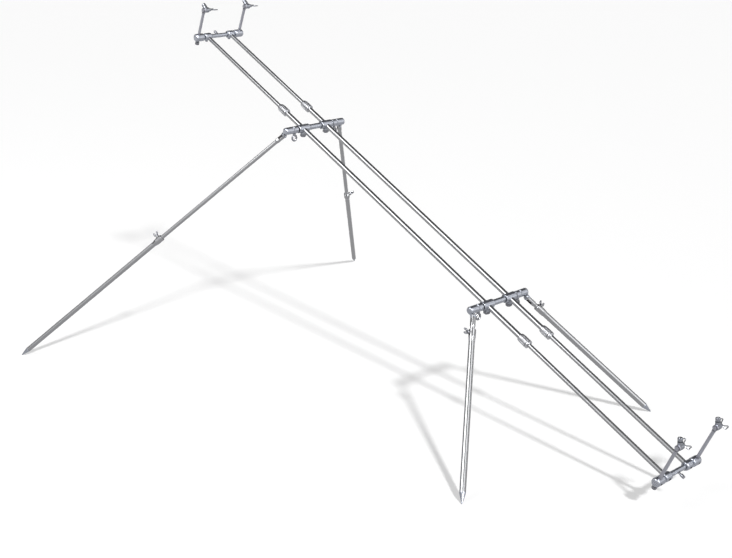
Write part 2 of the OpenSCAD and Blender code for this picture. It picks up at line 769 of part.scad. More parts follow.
// One piece at each corner, by name
module corner_piece(p, e, s) {
    if (p == "collar") collar(e, s);
    if (p == "rail_screw") rail_screw(e, s);
    if (p == "knuckle") knuckle(e, s);
    if (p == "knuckle_screw") knuckle_screw(e, s);
    if (p == "hinge_pin") hinge_pin(e, s);
    if (p == "upper_leg") upper_leg(e, s);
    if (p == "lower_leg") lower_leg(e, s);
    if (p == "leg_screw") leg_screw(e, s);
    if (p == "spike") spike(e, s);
    if (p == "arm") arm(e, s);
    if (p == "head") head(e, s);
    if (p == "head_screw") head_screw(e, s);
}

main_rails();
collar_collets();
for (e = [FRONT, REAR]) {
    extensions(e);
    end_bar(e);
    bar_screws(e);
    leg_bar(e);
    arm_knob(e);
    for (s = SIDES, p = CORNER_PIECES)
        corner_piece(p, e, s);
}
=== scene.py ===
"""Looks of a high-front fishing rod pod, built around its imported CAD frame."""
import json
import math

import bmesh
import bpy
import numpy as np
from mathutils import Matrix, Vector

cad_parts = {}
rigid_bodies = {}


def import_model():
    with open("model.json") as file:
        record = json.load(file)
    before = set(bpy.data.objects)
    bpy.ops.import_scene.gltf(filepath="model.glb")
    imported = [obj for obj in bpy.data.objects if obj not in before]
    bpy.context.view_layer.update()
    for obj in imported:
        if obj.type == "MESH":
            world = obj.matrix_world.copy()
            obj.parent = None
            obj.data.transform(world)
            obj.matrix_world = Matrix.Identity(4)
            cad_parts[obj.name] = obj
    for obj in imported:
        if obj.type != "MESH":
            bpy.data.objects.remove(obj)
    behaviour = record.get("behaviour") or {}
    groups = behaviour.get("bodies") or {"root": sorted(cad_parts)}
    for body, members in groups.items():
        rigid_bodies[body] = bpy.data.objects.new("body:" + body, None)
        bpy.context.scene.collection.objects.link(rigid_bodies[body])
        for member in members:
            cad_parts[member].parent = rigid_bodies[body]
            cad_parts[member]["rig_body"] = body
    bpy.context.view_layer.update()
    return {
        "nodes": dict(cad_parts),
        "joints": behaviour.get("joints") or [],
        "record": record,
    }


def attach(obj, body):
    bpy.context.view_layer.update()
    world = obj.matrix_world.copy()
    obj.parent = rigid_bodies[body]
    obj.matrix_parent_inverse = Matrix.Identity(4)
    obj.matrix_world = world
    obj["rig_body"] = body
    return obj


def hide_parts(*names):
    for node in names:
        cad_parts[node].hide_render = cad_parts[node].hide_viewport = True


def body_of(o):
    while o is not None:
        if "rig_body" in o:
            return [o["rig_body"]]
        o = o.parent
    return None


bl_info = {
    "name": "Rod pod",
    "version": (1, 0, 0),
    "blender": (4, 5, 0),
    "location": "3D View > Sidebar > Rod pod",
    "description": "Dresses the packed rod pod in steel finishes and sets it on a pale studio floor",
    "category": "Object",
}

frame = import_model()
NODES = frame["nodes"]
JOINTS = {joint["name"]: joint for joint in frame["joints"]}
ENDS = ("front", "rear")
SIDES = ("left", "right")
CORNERS = [(end, side) for end in ENDS for side in SIDES]


def joint_axis(name):
    """Direction of a joint of the frame, as a vector."""
    return Vector(JOINTS[name]["axis"])


def joint_place(name):
    """A point on a hinge of the frame, as a vector."""
    return Vector(JOINTS[name]["pos_m"])


ALONG_RAILS = joint_axis("front_bar_slide")
ACROSS = Vector((1, 0, 0))


# Sizes and colours that a user would change


def colour(name, description, default):
    """A steel's colour that the panel shows."""
    return bpy.props.FloatVectorProperty(
        name=name, description=description, default=default, min=0.0, max=1.0, subtype="COLOR")


def share(name, description, default):
    """A number from 0 to 1 that the panel shows."""
    return bpy.props.FloatProperty(
        name=name, description=description, default=default, min=0.0, max=1.0, subtype="FACTOR")


def length(name, description, default):
    """A size in metres that the panel shows."""
    return bpy.props.FloatProperty(
        name=name, description=description, default=default, unit="LENGTH", precision=4)


def angle(name, description, degrees):
    """An angle that the panel shows."""
    return bpy.props.FloatProperty(
        name=name, description=description, default=math.radians(degrees), subtype="ANGLE")


class PodFinish(bpy.types.PropertyGroup):
    """Colours and gloss of the steel finishes."""

    tube_colour: colour("Tube colour", "Polished stainless of the rails and legs", (0.6, 0.605, 0.615))
    tube_roughness: share("Tube roughness", "Blur of the reflections in the tubes", 0.2)
    turned_colour: colour("Turned colour", "Satin stainless of the bars, knuckles, spikes and pins",
                          (0.66, 0.69, 0.76))
    turned_roughness: share("Turned roughness", "Blur of the reflections in the turned pieces and screws",
                            0.27)
    collar_colour: colour("Collar colour", "Pale stainless of the locking collars", (0.8, 0.81, 0.84))
    collar_roughness: share("Collar roughness", "Blur of the reflections in the locking collars", 0.28)
    arm_colour: colour("Arm colour", "Grey stainless of the arm rods", (0.65, 0.655, 0.715))
    arm_roughness: share("Arm roughness", "Blur of the reflections in the arm rods", 0.34)
    head_colour: colour("Head colour", "Darker stainless of the swivel heads", (0.5, 0.52, 0.57))
    head_roughness: share("Head roughness", "Blur of the reflections in the swivel heads", 0.21)
    screw_colour: colour("Screw colour", "Blasted stainless of the screws", (0.5, 0.51, 0.55))


class PodScrews(bpy.types.PropertyGroup):
    """Sizes of the wing screws, of the end bars' screws and of the alarm sockets' threads."""

    wing_span: length("Wing span", "Across both wings of a head's screw", 0.034)
    wing_wire: length("Wing wire", "Thickness of the bent wire of a wing", 0.003)
    wing_bend: length("Wing bend", "Radius of a wing's bends at the middle of the wire", 0.0016)
    wing_tip: length("Wing tip", "Half the length of a wing's short top side", 0.0013)
    wing_foot: length("Wing foot", "Height of a wing's outer corner above the seat", 0.012)
    wing_height: length("Wing height", "Height of a wing's top above the seat", 0.028)
    wing_top_share: share("Wing top", "How far out a wing's top is, as a share of its foot", 0.77)
    boss_radius: length("Boss radius", "Radius of the round boss between the wings", 0.005)
    boss_height: length("Boss height", "Height of the boss's straight side above the seat", 0.008)
    shank_radius: length("Shank radius", "Radius over the thread of a shank", 0.003)
    seat_gap: length("Seat gap", "Gap between the boss and its seat", 0.0003)
    thread_pitch: length("Thread pitch", "Climb of a shank's thread in one turn", 0.001)
    thread_depth: length("Thread depth", "Depth of a shank's thread", 0.0003)
    head_seat: length("Head seat", "From a head's pivot to its screw's seat", 0.0183)
    head_shank: length("Head shank", "Length of a head screw's shank", 0.021)
    head_wing_turn: angle("Head wing turn", "Turn of a head screw's wings from the head's line", 45)
    leg_seat: length("Leg seat", "From a leg's axis to its screw's seat", 0.0135)
    leg_shank: length("Leg shank", "Length of a leg screw's shank", 0.0067)
    leg_scale: share("Leg screw scale", "Size of a leg screw's wings, as a share of a head screw's", 0.55)
    set_screw_foot: length("Set screw foot", "From an end bar's axis to a set screw's inner end", 0.0066)
    set_screw_seat: length("Set screw seat", "From an end bar's axis to the underside of a set screw's head",
                           0.013)
    set_screw_top: length("Set screw top", "From an end bar's axis to the end of a set screw's head", 0.0185)
    set_screw_radius: length("Set screw radius", "Radius over the thread of a set screw", 0.0025)
    set_head_radius: length("Set head radius", "Radius of a set screw's round head", 0.005)
    stud_seat: length("Stud seat", "From an end bar's axis to the foot of its stud", 0.0055)
    stud_neck_radius: length("Stud neck radius", "Radius of a stud's neck", 0.0032)
    stud_neck: length("Stud neck", "From an end bar's axis to the end of a stud's neck", 0.014)
    stud_radius: length("Stud radius", "Radius of a stud's head", 0.0047)
    stud_top: length("Stud top", "From an end bar's axis to the end of its stud", 0.0265)
    socket_pitch: length("Socket pitch", "Climb of an alarm socket's thread in one turn", 0.00127)
    socket_depth: length("Socket depth", "Depth of an alarm socket's thread", 0.0004)


class PodCamera(bpy.types.PropertyGroup):
    """The photograph's viewpoint."""

    place: bpy.props.FloatVectorProperty(
        name="Place", description="Where the camera stands", subtype="TRANSLATION", unit="LENGTH",
        default=(-2.5598, -2.5821, 1.5996))
    azimuth: angle("Azimuth", "Turn of the view from straight ahead", -42.84)
    elevation: angle("Elevation", "How far the view looks down", 18.77)
    lens: bpy.props.FloatProperty(
        name="Lens", description="Focal length for a 36 mm sensor", default=60.82, unit="CAMERA")


class PodSettings(bpy.types.PropertyGroup):
    """Everything that the rod pod's panel shows."""

    finish: bpy.props.PointerProperty(type=PodFinish)
    screws: bpy.props.PointerProperty(type=PodScrews)
    camera: bpy.props.PointerProperty(type=PodCamera)


def settings():
    """The scene's values of the rod pod."""
    return bpy.context.scene.rod_pod


# Shader maths


class Socket:
    """One output of a shader node; arithmetic on it adds Math nodes, with a number on either side."""

    def __init__(self, shader, output):
        self.shader = shader
        self.output = output

    def _math(self, operation, first, second):
        """A Math node of two values, each a socket or a number."""
        return self.shader.node("ShaderNodeMath", {"operation": operation}, {0: first, 1: second})

    def __add__(self, other):
        return self._math("ADD", self, other)

    def __radd__(self, other):
        return self._math("ADD", other, self)

    def __sub__(self, other):
        return self._math("SUBTRACT", self, other)

    def __rsub__(self, other):
        return self._math("SUBTRACT", other, self)

    def __mul__(self, other):
        return self._math("MULTIPLY", self, other)

    def __rmul__(self, other):
        return self._math("MULTIPLY", other, self)

    def __pow__(self, other):
        return self._math("POWER", self, other)

    def __rpow__(self, other):
        return self._math("POWER", other, self)


class Shader:
    """The node tree of one material or of the world."""

    def __init__(self, owner):
        owner.use_nodes = True
        self.tree = owner.node_tree
        self.tree.nodes.clear()

    def node(self, kind, settings=None, sockets=None, output=0):
        """Adds a node of a type, sets its settings, then its sockets' values or links; gives one output."""
        made = self.tree.nodes.new(kind)
        for name, value in (settings or {}).items():
            setattr(made, name, value)
        for name, value in (sockets or {}).items():
            if isinstance(value, Socket):
                self.tree.links.new(value.output, made.inputs[name])
            else:
                made.inputs[name].default_value = value
        return Socket(self, made.outputs[output]) if made.outputs else None

    def mix_colour(self, factor, first, second):
        """First colour where the factor is 0, second where it is 1."""
        return self.node("ShaderNodeMix", {"data_type": "RGBA"}, {0: factor, 6: first, 7: second}, output=2)

    def ramp(self, value, start, end):
        """Smooth step from 0 at one value to 1 at another."""
        return self.node("ShaderNodeMapRange", {"interpolation_type": "SMOOTHSTEP"},
                         {"Value": value, "From Min": start, "From Max": end})

    def along(self, axis, place, size):
        """Object coordinates turned so that Z runs along an axis, each divided by a size in metres."""
        turn = Vector((0, 0, 1)).rotation_difference(Vector(axis)).to_euler()
        coords = self.node("ShaderNodeTexCoord", output="Object")
        return self.node("ShaderNodeMapping", {"vector_type": "TEXTURE"},
                         {"Vector": coords, "Location": place, "Rotation": turn, "Scale": size})

    def noise(self, vector, detail):
        """Smooth noise from 0 to 1 that varies over one unit of its vector."""
        return self.node("ShaderNodeTexNoise", {"normalize": True},
                         {"Vector": vector, "Scale": 1.0, "Detail": detail})

    def ray(self, kind):
        """1 for rays of a kind, such as Is Camera Ray, and 0 for others."""
        return self.node("ShaderNodeLightPath", output=kind)

    def surface(self, shader_socket):
        """Makes a shader the material's surface."""
        self.node("ShaderNodeOutputMaterial", sockets={"Surface": shader_socket})


def rgba(parts, gain=1.0):
    """A colour of three parts, made lighter or darker, with full alpha."""
    return [min(1.0, part * gain) for part in parts] + [1.0]


def grey(tone):
    """A neutral colour with full alpha."""
    return (tone, tone, tone, 1)


# Sizes of the steel's patterns in metres, across, across and along a piece
DRAWN = (0.0006, 0.0006, 0.08)
TURNED = (0.02, 0.02, 0.0005)
BLASTED = (0.0007, 0.0007, 0.0007)
CLOUDS = (0.03, 0.03, 0.07)
SPECKS = (0.0012, 0.0012, 0.0016)

# Gain of the colour in the dull and bright clouds and in the grain, and the grain's share of it
DULL_CLOUD = 0.9
BRIGHT_CLOUD = 1.08
GRAIN_GAIN = 0.8
GRAIN_SHARE = 0.35

# How much each pattern moves the roughness, from half below to half above
GRAIN_BLUR = 0.12
CLOUD_BLUR = 0.1
SPECK_BLUR = 0.04
MEAN_BLUR = (GRAIN_BLUR + CLOUD_BLUR + SPECK_BLUR) / 2

# Relief of the grain, and the reach and the darkest gain of the painted shade in hollows
GRAIN_DEPTH = 2e-5
GRAIN_BUMP = 0.35
PAINTED_SHADE_REACH = 0.012
PAINTED_SHADE_GAIN = 0.06
PAINTED_SHADE_POWER = 2.0
PAINTED_SHADE_SAMPLES = 8


def steel(name, parts, roughness, axis, place, grain, foot=None):
    """Stainless steel of a colour with a fine grain, a faint cloudy sheen and painted shade in its hollows.

    The grain is noise stretched by three sizes in metres, given across, across and along the axis: long along
    it for drawn tube, long across it for turned rings. It moves the colour, the roughness and the bump. A
    coarse noise moves the colour and the roughness a little, as handled steel does, and specks move the
    roughness. Bores, grooves and corners of the piece itself get painted shade: the piece's own ambient
    occlusion darkens the base colour where little light gets in. A foot, given
    as its height up the axis, its colour and its roughness, has that finish below the height.
    """
    material = bpy.data.materials.new(name)
    shader = Shader(material)
    lines = shader.noise(shader.along(axis, place, grain), detail=3.0)
    clouds = shader.noise(shader.along(axis, place, CLOUDS), detail=4.0)
    specks = shader.noise(shader.along(axis, place, SPECKS), detail=2.0)
    tone = shader.mix_colour(clouds, rgba(parts, DULL_CLOUD), rgba(parts, BRIGHT_CLOUD))
    if foot:
        foot_height, foot_parts, foot_roughness = foot
        metres = shader.along(axis, place, (1, 1, 1))
        height = shader.node("ShaderNodeSeparateXYZ", sockets={0: metres}, output="Z")
        rod = shader.node("ShaderNodeMath", {"operation": "GREATER_THAN"}, {0: height, 1: foot_height})
        tone = shader.mix_colour(rod, rgba(foot_parts), tone)
        roughness = rod * (roughness - foot_roughness) + foot_roughness
    tone = shader.mix_colour(lines * GRAIN_SHARE, tone, rgba(parts, GRAIN_GAIN))
    # Painted shade: the piece's own ambient occlusion darkens the base colour in its bores, grooves and
    # corners
    painted_shade_open_share = shader.node("ShaderNodeAmbientOcclusion", {"only_local": True, "samples": PAINTED_SHADE_SAMPLES},
                             {"Distance": PAINTED_SHADE_REACH}, output="AO")
    tone = shader.mix_colour(painted_shade_open_share ** PAINTED_SHADE_POWER, rgba(parts, PAINTED_SHADE_GAIN), tone)
    blur = lines * GRAIN_BLUR + clouds * CLOUD_BLUR + specks * SPECK_BLUR + (roughness - MEAN_BLUR)
    relief = shader.node("ShaderNodeBump",
                         sockets={"Strength": GRAIN_BUMP, "Distance": GRAIN_DEPTH, "Height": lines})
    shader.surface(shader.node("ShaderNodeBsdfPrincipled", sockets={
        "Base Color": tone, "Metallic": 1.0, "Roughness": blur, "Normal": relief}))
    return material


def blasted_steel(name):
    """The screws' even, fine-grained steel."""
    finish = settings().finish
    return steel(name, finish.screw_colour, finish.turned_roughness, ACROSS, (0, 0, 0), BLASTED)


def dress(node, material):
    """Gives a CAD node one material."""
    data = NODES[node].data
    data.materials.clear()
    data.materials.append(material)


# Turned, threaded and bent pieces as grids of points

# Fineness of the grids, and how far apart points are merged and how sharp an edge stays sharp
ROWS_PER_PITCH = 8
SCREW_SIDES = 32
SOCKET_SIDES = 40
WIRE_SIDES = 16
BEND_STEPS = 9
QUARTER_ROUND = np.radians(np.linspace(0, 90, 7))
MERGE_DISTANCE = 1e-6
SHARP_ANGLE = math.radians(40)


def unit(vectors):
    """Rows of an array, each divided by its length."""
    return vectors / np.linalg.norm(vectors, axis=-1, keepdims=True)


def ring_angles(sides):
    """Angles round a full turn, as one row."""
    return np.linspace(0.0, 2 * np.pi, sides, endpoint=False)[None, :]


def thread_rows(span, pitch):
    """Number of outline points along a thread."""
    return int(ROWS_PER_PITCH * span / pitch)


def turned_grid(radius, height, depth, pitch, sides):
    """Turned outline with a thread, as a grid over outline points and angles.

    Each point's radius loses its thread depth times a triangle wave of height / pitch less the share of a
    turn, so that the crests climb by one pitch in each turn.
    """
    turn = ring_angles(sides)
    wave = np.abs(2 * ((height[:, None] / pitch - turn / (2 * np.pi)) % 1.0) - 1)
    r = radius[:, None] - depth[:, None] * wave
    return np.stack((r * np.cos(turn), r * np.sin(turn), np.broadcast_to(height[:, None], r.shape)), axis=-1)


def bent_path(corners, bend, steps):
    """Closed flat path through bends: round each corner the arc that is tangent to both its sides.

    The arc's centre is on the corner's bisector, and its radius swings evenly from square to one side to
    square to the other.
    """
    before = unit(np.roll(corners, 1, axis=0) - corners)
    after = unit(np.roll(corners, -1, axis=0) - corners)
    half = np.arccos(np.sum(before * after, axis=1))[:, None] / 2
    centres = corners + unit(before + after) * bend / np.sin(half)
    start = unit(corners + before * bend / np.tan(half) - centres)[:, None]
    end = unit(corners + after * bend / np.tan(half) - centres)[:, None]
    swing = (np.pi - 2 * half)[:, None]
    part = np.linspace(0.0, 1.0, steps)[None, :, None]
    spoke = (np.sin((1 - part) * swing) * start + np.sin(part * swing) * end) / np.sin(swing)
    return (centres[:, None] + bend * spoke).reshape(-1, 2)


def wire_grid(path, radius, sides):
    """Round wire along a closed path in the XZ plane: at each point a circle, spread by the normal and Y."""
    run = unit(np.roll(path, -1, axis=0) - np.roll(path, 1, axis=0))
    normal = np.stack((run[:, 1], -run[:, 0]), axis=1)
    turn = ring_angles(sides)
    flat = path[:, None] + radius * np.cos(turn)[..., None] * normal[:, None]
    side = np.broadcast_to(radius * np.sin(turn), flat.shape[:2])
    return np.stack((flat[..., 0], side, flat[..., 1]), axis=-1)


def grid_faces(rows, columns, closed):
    """Quads of a grid whose columns close on themselves, and whose rows do where closed is true."""
    row = np.arange(rows if closed else rows - 1)[:, None]
    column = np.arange(columns)[None, :]
    above = (row + 1) % rows * columns
    beside = (column + 1) % columns
    here = row * columns
    return np.stack((here + column, here + beside, above + beside, above + column), axis=-1).reshape(-1, 4)


def placed(grid, origin, axis, across):
    """A grid moved so that its Z runs along an axis from an origin and its X points across it."""
    up = unit(np.array(axis))
    side = unit(np.array(across) - up * np.dot(across, up))
    return grid @ np.array((side, np.cross(up, side), up)) + np.array(origin)


def scene_object(name, data):
    """A new object of the scene with its data."""
    made = bpy.data.objects.new(name, data)
    bpy.context.scene.collection.objects.link(made)
    return made


def add_piece(name, grids, material, body):
    """One mesh from grids in the row frame, given with whether their rows close, that rides on a body."""
    points, faces, count = [], [], 0
    for grid, closed in grids:
        rows, columns = grid.shape[:2]
        points.append(grid.reshape(-1, 3))
        faces.append(grid_faces(rows, columns, closed) + count)
        count += rows * columns
    mesh = bpy.data.meshes.new(name)
    mesh.from_pydata(np.concatenate(points).tolist(), [], np.concatenate(faces).tolist())
    shape = bmesh.new()
    shape.from_mesh(mesh)
    bmesh.ops.remove_doubles(shape, verts=shape.verts, dist=MERGE_DISTANCE)
    bmesh.ops.recalc_face_normals(shape, faces=shape.faces)
    shape.to_mesh(mesh)
    shape.free()
    mesh.shade_smooth()
    mesh.set_sharp_from_angle(angle=SHARP_ANGLE)
    mesh.materials.append(material)
    piece = scene_object(name, mesh)
    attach(piece, body)
    return piece


# Operators, one for each group of like pieces


class POD_OT_tubes(bpy.types.Operator):
    """Polishes the rails, extensions and leg tubes along their length"""

    bl_idname = "rod_pod.tubes"
    bl_label = "Polish the tubes"

    def execute(self, context):
        finish = settings().finish

        def drawn(name, axis, place):
            return steel(name, finish.tube_colour, finish.tube_roughness, axis, place, DRAWN)

        rails = drawn("rail_tube", ALONG_RAILS, (0, 0, 0))
        for node in ("main_rails", "front_extensions", "rear_extensions"):
            dress(node, rails)
        for end, side in CORNERS:
            axis = joint_axis(f"{end}_leg_{side}_telescope")
            place = joint_place(f"{end}_leg_{side}_splay")
            leg = drawn(f"{end}_leg_tube_{side}", axis, place)
            dress(f"{end}_upper_leg_{side}", leg)
            dress(f"{end}_lower_leg_{side}", leg)
        return {"FINISHED"}


class POD_OT_turned(bpy.types.Operator):
    """Gives the bars, collars, knuckles, spikes and pins their turned rings"""

    bl_idname = "rod_pod.turned"
    bl_label = "Finish the turned pieces"

    def execute(self, context):
        finish = settings().finish

        def turned(name, axis, place, parts=finish.turned_colour, roughness=finish.turned_roughness):
            return steel(name, parts, roughness, axis, place, TURNED)

        for end in ENDS:
            end_steel = turned(f"{end}_end_bar_steel", ACROSS, joint_place(f"{end}_arm_left_lean"))
            leg_steel = turned(f"{end}_leg_bar_steel", ACROSS, joint_place(f"{end}_knuckle_left_rake"))
            dress(f"{end}_end_bar", end_steel)
            dress(f"{end}_leg_bar", leg_steel)
            for side in SIDES:
                dress(f"{end}_knuckle_{side}", leg_steel)
                collar_place = joint_place(f"{end}_collar_{side}_turn")
                dress(f"{end}_collar_{side}", turned(f"{end}_collar_steel_{side}", ALONG_RAILS, collar_place,
                                                     finish.collar_colour, finish.collar_roughness))
                leg_axis = joint_axis(f"{end}_leg_{side}_telescope")
                pin_axis = joint_axis(f"{end}_leg_{side}_splay")
                pin_place = joint_place(f"{end}_leg_{side}_splay")
                dress(f"{end}_spike_{side}", turned(f"{end}_spike_steel_{side}", leg_axis, pin_place))
                dress(f"{end}_hinge_pin_{side}", turned(f"{end}_pin_steel_{side}", pin_axis, pin_place))
        dress("collar_collets", turned("collet_steel", ALONG_RAILS, (0, 0, 0)))
        return {"FINISHED"}


class POD_OT_arms(bpy.types.Operator):
    """Finishes the arms, with their hubs as the end bars, and their swivel heads"""

    bl_idname = "rod_pod.arms"
    bl_label = "Finish the arms and heads"
    hub_radius = 0.0131

    def execute(self, context):
        finish = settings().finish
        hub_finish = (self.hub_radius, finish.turned_colour, finish.turned_roughness)
        for end in ENDS:
            rise = joint_axis(f"{end}_arm_knob_turn")
            for side in SIDES:
                hub = joint_place(f"{end}_arm_{side}_lean")
                pivot = joint_place(f"{end}_head_{side}_tilt")
                arm_steel = steel(f"{end}_arm_steel_{side}", finish.arm_colour, finish.arm_roughness,
                                  rise, hub, DRAWN, hub_finish)
                head_steel = steel(f"{end}_head_steel_{side}", finish.head_colour, finish.head_roughness,
                                   ACROSS, pivot, BLASTED)
                dress(f"{end}_arm_{side}", arm_steel)
                dress(f"{end}_head_{side}", head_steel)
        return {"FINISHED"}


class POD_OT_screws(bpy.types.Operator):
    """Finishes the thumb screws, ring screws and knobs"""

    bl_idname = "rod_pod.screws"
    bl_label = "Finish the screws"

    def execute(self, context):
        blasted = blasted_steel("screw_steel")
        for end in ENDS:
            dress(f"{end}_arm_knob", blasted)
            for side in SIDES:
                for piece in ("rail_screw", "knuckle_screw"):
                    dress(f"{end}_{piece}_{side}", blasted)
        return {"FINISHED"}


class POD_OT_bar_screws(bpy.types.Operator):
    """Makes the end bars' set screws and studs, with threads and rounded heads"""

    bl_idname = "rod_pod.bar_screws"
    bl_label = "Make the end bar screws"
    head_round = 0.002
    head_edge = 0.0005

    def execute(self, context):
        sizes = settings().screws
        blasted = blasted_steel("bar_screw_steel")
        below = ALONG_RAILS.cross(ACROSS)
        set_screw = self.headed(sizes.set_screw_foot, sizes.set_screw_seat, sizes.set_screw_seat,
                                sizes.set_screw_top, sizes.set_screw_radius, sizes.set_head_radius)
        stud = self.headed(sizes.stud_seat, sizes.stud_seat, sizes.stud_neck, sizes.stud_top,
                           sizes.stud_neck_radius, sizes.stud_radius)
        for end, out in zip(ENDS, (ALONG_RAILS, -ALONG_RAILS)):
            hubs = [joint_place(f"{end}_arm_{side}_lean") for side in SIDES]
            middle = (hubs[0] + hubs[1]) / 2
            grids = [(placed(stud, middle, out, ACROSS), False)]
            for side in SIDES:
                rail = middle.copy()
                rail.x = joint_place(f"{end}_collar_{side}_turn").x
                grids.append((placed(set_screw, rail, below, ACROSS), False))
            body = body_of(NODES[f"{end}_bar_screws"])[0]
            piece = add_piece(f"{end}_bar_screws_turned", grids, blasted, body)
            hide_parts(f"{end}_bar_screws")
        return {"FINISHED"}

    def headed(self, foot, thread_end, neck_end, top, shank_radius, head_radius):
        """Threaded shank, plain neck and a head whose end is a quarter round, turned from one outline."""
        sizes = settings().screws
        edge = self.head_edge
        rows = max(2, thread_rows(thread_end - foot, sizes.thread_pitch))
        radius = np.concatenate((
            (0.0,), np.full(rows, shank_radius), (shank_radius, head_radius - edge, head_radius),
            head_radius - self.head_round * (1 - np.cos(QUARTER_ROUND)), (0.0,)))
        height = np.concatenate((
            (foot,), np.linspace(foot, thread_end, rows),
            (neck_end, neck_end + edge / 2, neck_end + edge * 2),
            top - self.head_round * (1 - np.sin(QUARTER_ROUND)), (top,)))
        depth = np.zeros(radius.size)
        depth[1:rows + 1] = sizes.thread_depth
        return turned_grid(radius, height, depth, sizes.thread_pitch, SCREW_SIDES)


class POD_OT_wing_screws(bpy.types.Operator):
    """Makes the wing screws of the heads and legs, with bent wire wings and threaded shanks"""

    bl_idname = "rod_pod.wing_screws"
    bl_label = "Make the wing screws"
    chamfer = 0.001

    def execute(self, context):
        sizes = settings().screws
        blasted = blasted_steel("wing_screw_steel")
        sockets = {mount["name"]: mount for mount in frame["record"]["mounts"]}
        for end, side in CORNERS:
            pivot = joint_place(f"{end}_head_screw_{side}_turn")
            head_line = Vector(sockets[f"{end}_alarm_socket_{side}"]["axis"])
            across = Matrix.Rotation(-sizes.head_wing_turn, 3, ACROSS) @ head_line
            self.screw(f"{end}_head_screw_{side}", pivot, ACROSS, across, sizes.head_seat, sizes.head_shank,
                       1.0, blasted)
            centre = joint_place(f"{end}_leg_screw_{side}_turn")
            out = joint_axis(f"{end}_leg_screw_{side}_turn")
            leg_line = joint_axis(f"{end}_leg_{side}_telescope")
            self.screw(f"{end}_leg_screw_{side}", centre, out, leg_line, sizes.leg_seat, sizes.leg_shank,
                       sizes.leg_scale, blasted)
        return {"FINISHED"}

    def screw(self, node, centre, axis, across, seat, shank, scale, material):
        """One screw in place of a CAD node, seated at a distance from a centre along its axis."""
        origin = centre + axis.normalized() * seat
        grids = [(self.stem(shank, scale), False)] + [(wing, True) for wing in self.wings(scale)]
        grids = [(placed(grid, origin, axis, across), closed) for grid, closed in grids]
        piece = add_piece(f"{node}_bent", grids, material, node)
        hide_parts(node)

    def stem(self, shank, scale):
        """Threaded shank below the seat and round boss above it, turned from one outline."""
        sizes = settings().screws
        chamfer = self.chamfer
        rows = thread_rows(shank - chamfer, sizes.thread_pitch)
        boss_top = sizes.boss_height * scale
        radius = np.concatenate((
            (0.0, sizes.shank_radius - chamfer), np.full(rows, sizes.shank_radius),
            (sizes.shank_radius, sizes.boss_radius),
            sizes.boss_radius - chamfer * (1 - np.cos(QUARTER_ROUND)), (0.0,)))
        height = np.concatenate((
            (-shank, -shank), np.linspace(chamfer - shank, 0.0, rows), (sizes.seat_gap, sizes.seat_gap),
            boss_top + chamfer * np.sin(QUARTER_ROUND), (boss_top + chamfer,)))
        depth = np.zeros(radius.size)
        depth[2:rows + 2] = sizes.thread_depth
        return turned_grid(radius, height, depth, sizes.thread_pitch, SCREW_SIDES)

    def wings(self, scale):
        """Two loops of round wire, one turned half round from the other, with their roots in the boss."""
        sizes = settings().screws
        foot = sizes.wing_span / 2 * scale - sizes.wing_wire / 2
        top = foot * sizes.wing_top_share
        corners = np.array((
            (sizes.boss_radius - sizes.wing_wire, sizes.boss_height * scale),
            (foot, sizes.wing_foot * scale),
            (top + sizes.wing_tip, sizes.wing_height * scale),
            (top - sizes.wing_tip, sizes.wing_height * scale)))
        loop = wire_grid(bent_path(corners, sizes.wing_bend, BEND_STEPS), sizes.wing_wire / 2, WIRE_SIDES)
        return loop, loop * (-1, -1, 1)


class POD_OT_socket_threads(bpy.types.Operator):
    """Cuts the threads that bite alarms hold on to in the swivel heads"""

    bl_idname = "rod_pod.socket_threads"
    bl_label = "Cut the socket threads"
    lead_in = 0.0008
    root_gap = 0.00005

    def execute(self, context):
        sizes = settings().screws
        thread_steel = blasted_steel("socket_thread_steel")
        for mount in frame["record"]["mounts"]:
            bore = mount["dims"]["r_mm"] / 1000
            deep = mount["dims"]["length_mm"] / 1000 - 2 * self.lead_in
            rows = thread_rows(deep, sizes.socket_pitch)
            # The outline runs up the thread, out to the bore's wall and straight back down it
            height = np.concatenate((np.linspace(-deep / 2, deep / 2, rows), (deep / 2, -deep / 2)))
            radius = np.concatenate((np.full(rows, bore - self.root_gap), (bore, bore)))
            depth = np.concatenate((np.full(rows, sizes.socket_depth), np.zeros(2)))
            sleeve = turned_grid(radius, height, depth, sizes.socket_pitch, SOCKET_SIDES)
            sleeve = placed(sleeve, mount["pos_m"], mount["axis"], ACROSS)
            head = mount["name"].replace("alarm_socket", "head")
            add_piece(f"{head}_thread", [(sleeve, True)], thread_steel, head)
        return {"FINISHED"}


# The stage: lamps, floor and room

BOX_PLACE = (-3.4, 0.9, 4.0)
BOX_AIM = (0, 0.1, 0.5)
BOX_SIZE = (2.6, 2.2)
BOX_POWER = 60
KEY_HEADING = (0.206, 0.713, -0.671)
KEY_STRENGTH = 3.6
KEY_SPREAD = math.radians(4.5)

# Half the floor's width, its own tone, and the share of plain white that the camera sees in it
FLOOR_HALF = 30.0
FLOOR_TONE = 0.95
FLOOR_LIFT = 0.45

# The floor as steel mirrors it, an emission with painted shade near the pod: its darker colour near the pod
# and its paler one far from it, and the distances in metres at which the near one ends and the far one begins
NEAR_FLOOR_PAINTED_SHADE = (0.45, 0.45, 0.46, 1)
FAR_FLOOR = grey(0.62)
NEAR_END = 1.2
FAR_START = 3.2

